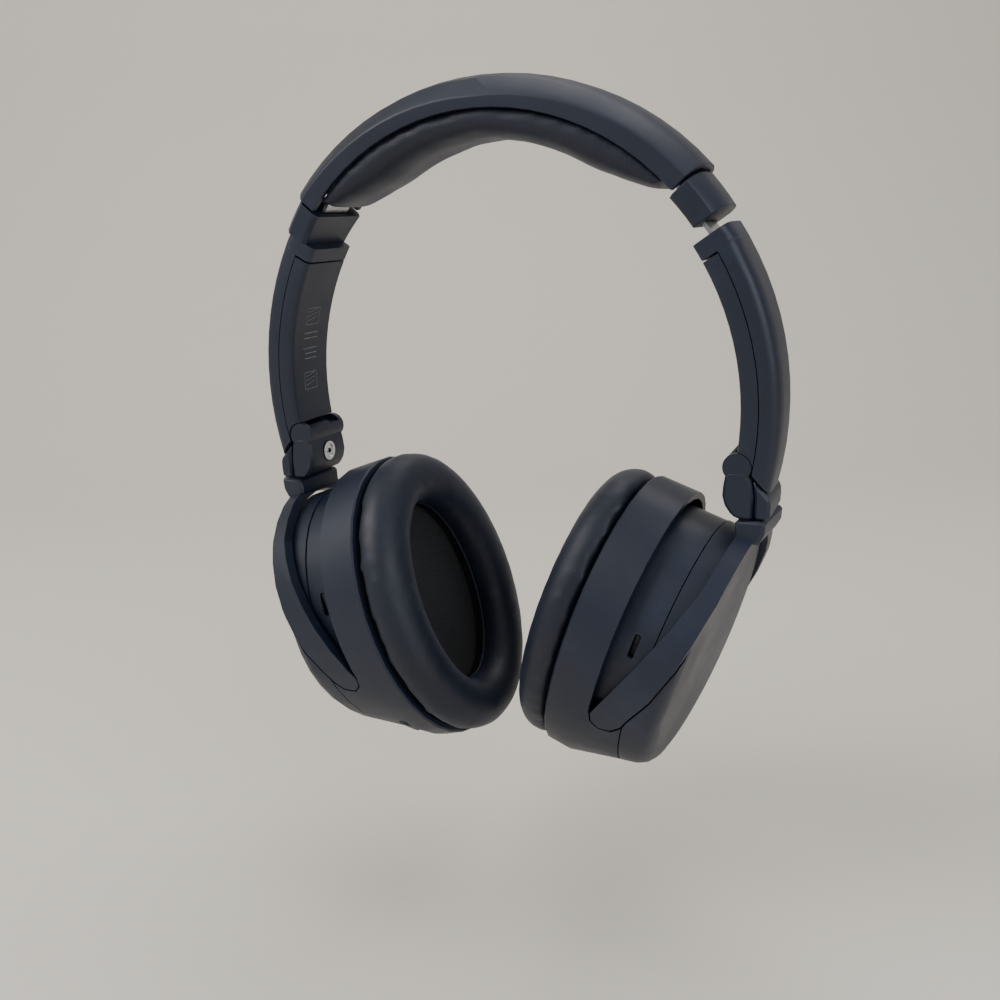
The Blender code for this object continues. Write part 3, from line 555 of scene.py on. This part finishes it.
def ear_cover(side, cup):
    """Knitted cover over the driver opening, slightly domed."""
    verts, faces = [], []
    for ring in range(COVER_RINGS + 1):
        part = ring / COVER_RINGS
        for k in range(COVER_STEPS):
            angle = 2.0 * math.pi * k / COVER_STEPS
            y = (CUP_HALF_WIDTH - PAD_WALL + COVER_LAP) * part * math.cos(angle)
            z = (CUP_HALF_HEIGHT - PAD_WALL + COVER_LAP) * part * math.sin(angle)
            dome = -COVER_DOME * (1.0 - part * part) ** 1.2
            slack = COVER_SLACK * noise.noise(Vector((y, z, 3.0)) * 0.11)
            depth = COVER_DEPTH + dome + slack * (1.0 - part)
            verts.append(cup @ (Vector((depth, y, z)) * MM))
    for ring in range(COVER_RINGS):
        for k in range(COVER_STEPS):
            n = (k + 1) % COVER_STEPS
            a = ring * COVER_STEPS
            b = a + COVER_STEPS
            faces.append((a + k, b + k, b + n, a + n))
    cover = new_piece(side + "_ear_cover", verts, faces, MESH, side + "_cup")
    thick = cover.modifiers.new("cloth_thickness", "SOLIDIFY")
    thick.thickness = 0.0003
    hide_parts(side + "_ear_mesh")


for side in SIDES:
    cup = CUPS[side]

    def near_frame(co, back=cup.inverted()):
        """True where the pad sits against its frame."""
        return (back @ co).x > PAD_HELD_DEPTH

    pad = padded_copy(side + "_ear_cushion", NODES[side + "_ear_pad"], voxel=0.0026,
                      inset=0.0005, pressure=4.0, cap=0.0016, held=near_frame,
                      body=side + "_cup", look=PAD_SKIN)
    crease_opening(pad, cup)
    ear_cover(side, cup)
    seam = local_oval(PAD_WALL - SEAM_INSET, SEAM_DEPTH, 96)
    tube(side + "_pad_seam", in_world(cup, seam), SEAM_RADIUS, PAD_SKIN, side + "_cup")


def pad_held(co):
    """True where the headband cushion sits against the channel."""
    reach = math.hypot(co.x, co.z - CHANNEL_CENTRE_Z)
    return reach > CHANNEL_RADIUS - 0.0016


cushion = padded_copy("headband_cushion", NODES["headband_pad"], voxel=0.0024, inset=0.0003,
                      pressure=4.0, cap=0.0015, held=pad_held, body="headband",
                      look=BAND_SKIN)
# the cushion's top fills the channel, a little higher between the rims than under them
TOP_DEPTH = 0.0022
TOP_BLEND = 0.0012
for vert in cushion.data.vertices:
    reach = math.hypot(vert.co.x, vert.co.z - CHANNEL_CENTRE_Z)
    if reach > CHANNEL_RADIUS - TOP_DEPTH:
        rise = min(1.0, (reach - (CHANNEL_RADIUS - TOP_DEPTH)) / TOP_BLEND)
        lift = 0.00042 if abs(vert.co.y) < CHANNEL_HALF_WIDTH else 0.00018
        target = reach + (CHANNEL_RADIUS + lift - reach) * rise
        vert.co.x *= target / reach
        vert.co.z = (vert.co.z - CHANNEL_CENTRE_Z) * target / reach + CHANNEL_CENTRE_Z
cushion.data.update()


# ---------------------------------------------------------------- printed marks


ARC_CENTRE = (-0.0110, -0.0790)
ARC_REACH = 0.088


def on_cover(side, degrees, y, lift=0.00008):
    """A point on the arm cover's inner face, by angle about the arm's own arc."""
    sign = -1.0 if side == "left" else 1.0
    centre = Vector((sign * ARC_CENTRE[0], 0.0, ARC_CENTRE[1]))
    way = Vector((sign * math.cos(math.radians(degrees)), 0.0, math.sin(math.radians(degrees))))
    start = centre + Vector((0.0, y, 0.0)) + way * 0.05
    place, _, _, _ = COVER_SKIN[side].ray_cast(start, way)
    if place is None:
        return None
    return place - way * lift


GRAPH = bpy.context.evaluated_depsgraph_get()
COVER_SKIN = {side: BVHTree.FromObject(NODES[side + "_arm_cover"], GRAPH) for side in SIDES}


def stroke(verts, faces, a, b, width):
    """A flat bar between two (degrees, y) spots; degrees run along the arm."""
    along = math.radians(b[0] - a[0]) * ARC_REACH
    across = b[1] - a[1]
    length = math.hypot(along, across)
    if length < 1e-9:
        return
    side_d = math.degrees(-across / length * width * 0.5 / ARC_REACH)
    side_y = along / length * width * 0.5
    cuts = max(1, int(length / 0.0012))
    rows = []
    for k in range(cuts + 1):
        t = k / cuts
        deg = a[0] + (b[0] - a[0]) * t
        y = a[1] + across * t
        pair = [on_cover("left", deg + side_d * s, y + side_y * s) for s in (-1.0, 1.0)]
        if None in pair:
            return
        rows.append(pair)
    base = len(verts)
    for pair in rows:
        verts.extend(pair)
    for k in range(cuts):
        i = base + 2 * k
        faces.append((i, i + 1, i + 3, i + 2))


def frame_of(verts, faces, low, high, y_low, y_high, width):
    """A rectangle drawn as four strokes."""
    spots = [(low, y_low), (high, y_low), (high, y_high), (low, y_high), (low, y_low)]
    for a, b in zip(spots[:-1], spots[1:]):
        stroke(verts, faces, a, b, width)


# generic marks where the printing is: two crossed-out boxes with bars between them
verts, faces = [], []
for low in (14.6, -0.6):
    high = low + 3.9
    frame_of(verts, faces, low, high, -0.0042, 0.0032, 0.00022)
    for share in (0.25, 0.5, 0.75):
        mid = low + (high - low) * share
        stroke(verts, faces, (mid, -0.0032), (mid + 0.8, 0.0022), 0.00020)
for deg in (12.6, 11.4, 9.0, 7.8, 6.6):
    reach = 0.0048 if deg > 8.0 else 0.0036
    stroke(verts, faces, (deg, -reach), (deg, 0.0036), 0.00034)
if verts:
    new_piece("left_arm_print", verts, faces, PRINT, "left_arm", False)


# ---------------------------------------------------------------- stage, light and camera

FLOOR_Z = -0.262
BACK_START = 0.55
BACK_RADIUS = 0.45


def stage_material(name, colour, rough):
    """A pale matt surface with barely uneven tone."""
    look = Look(name)
    tone = look.span(look.noise(3.0, 3.0), 0.3, 0.7)
    look.put("Base Color", look.mix(tone, tuple(0.985 * c for c in colour), colour))
    look.put("Roughness", rough)
    return look.mat


floor_mesh = bpy.data.meshes.new("floor")
bm = bmesh.new()
rows = []
RUN = [(-1.6, FLOOR_Z), (BACK_START, FLOOR_Z)]
for k in range(1, 11):
    angle = math.pi / 2 * k / 10
    RUN.append((BACK_START + BACK_RADIUS * math.sin(angle),
                FLOOR_Z + BACK_RADIUS * (1.0 - math.cos(angle))))
RUN.append((BACK_START + BACK_RADIUS, 1.9))
TURN = Matrix.Rotation(math.radians(24.6), 4, "Z")
for y, z in RUN:
    rows.append([bm.verts.new(TURN @ Vector((x, y, z))) for x in (-2.6, 2.6)])
for a, b in zip(rows[:-1], rows[1:]):
    bm.faces.new((a[0], a[1], b[1], b[0]))
bm.to_mesh(floor_mesh)
bm.free()
floor = bpy.data.objects.new("floor", floor_mesh)
bpy.context.scene.collection.objects.link(floor)
floor_mesh.materials.append(stage_material("pale_floor", (0.66, 0.62, 0.55), 0.7))
for face in floor_mesh.polygons:
    face.use_smooth = True

world = bpy.data.worlds.new("room")
bpy.context.scene.world = world
world.use_nodes = True
world.node_tree.nodes["Background"].inputs["Color"].default_value = (0.92, 0.95, 1.0, 1.0)
world.node_tree.nodes["Background"].inputs["Strength"].default_value = 0.50


def area_light(name, place, target, size, power, colour):
    """A rectangular soft light aimed at a point."""
    lamp = bpy.data.lights.new(name, "AREA")
    lamp.shape = "RECTANGLE"
    lamp.size = size[0]
    lamp.size_y = size[1]
    lamp.energy = power
    lamp.color = colour
    obj = bpy.data.objects.new(name, lamp)
    bpy.context.scene.collection.objects.link(obj)
    obj.location = place
    obj.rotation_mode = "QUATERNION"
    aim = Vector(target) - Vector(place)
    obj.rotation_quaternion = aim.to_track_quat("-Z", "Y")
    return obj


area_light("window_key", (-0.75, -0.65, 0.65), (0.0, 0.0, -0.10), (0.7, 0.7), 11.0,
           (1.0, 0.985, 0.96))
area_light("soft_fill", (0.95, -0.55, 0.35), (0.0, 0.0, -0.10), (0.8, 0.8), 6.0,
           (0.95, 0.97, 1.0))
area_light("top_light", (0.05, 0.25, 0.9), (0.0, 0.0, -0.05), (0.8, 0.8), 6.0,
           (1.0, 0.98, 0.95))

camera_data = bpy.data.cameras.new("camera")
camera_data.lens = 36.0
camera_data.sensor_width = 36.0
camera = bpy.data.objects.new("camera", camera_data)
bpy.context.scene.collection.objects.link(camera)
# The camera's own directions and its place
RIGHT = Vector((0.9133, 0.4047, -0.0461))
UP = Vector((-0.0674, 0.2618, 0.9628))
AHEAD = Vector((-0.4017, 0.8762, -0.2664))
CAMERA_PLACE = (0.1345647, -0.3022374, -0.02538)
camera.matrix_world = (Matrix.Translation(CAMERA_PLACE)
                       @ Matrix((RIGHT, UP, -AHEAD)).transposed().to_4x4())
camera_data.clip_start = 0.01
bpy.context.scene.camera = camera
